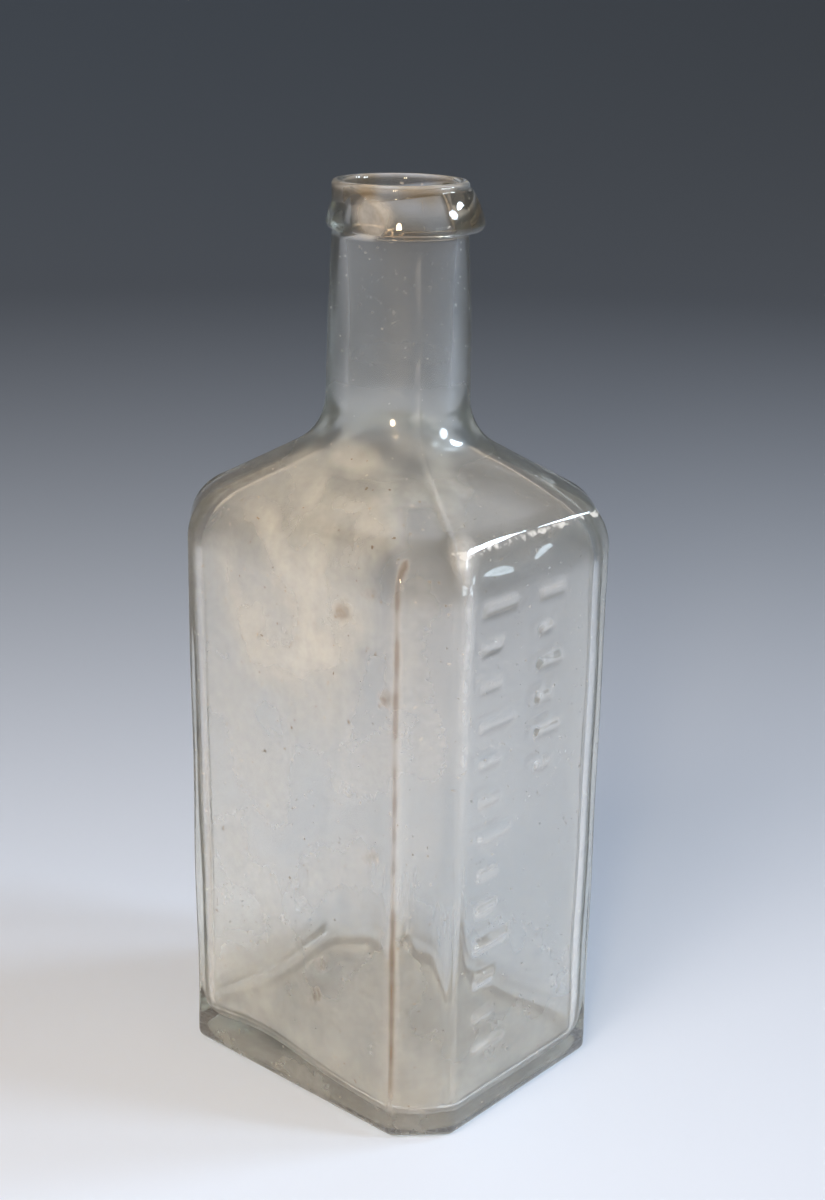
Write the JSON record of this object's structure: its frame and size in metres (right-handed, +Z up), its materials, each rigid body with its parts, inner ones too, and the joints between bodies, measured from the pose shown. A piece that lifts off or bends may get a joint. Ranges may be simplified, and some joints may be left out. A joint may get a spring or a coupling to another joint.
{
  "type": "moulded glass lotion bottle",
  "caption": "Empty clear glass bottle with a rectangular cut-cornered body, sloping shoulder, round neck and chipped tooled collar.",
  "frame": {"origin": "middle of the base, in the plane that the bottle stands on", "axes": "+Z up through the neck, +X out of a narrow side face, -Y out of a wide face"},
  "size_m": [0.06, 0.0504, 0.15],
  "materials": {
    "glass": "clear hand-finished bottle glass with a faint grey-green cast, uneven walls, dried film and specks of dirt"
  },
  "bodies": {
    "root": {"bottle": "glass"}
  },
  "joints": []
}
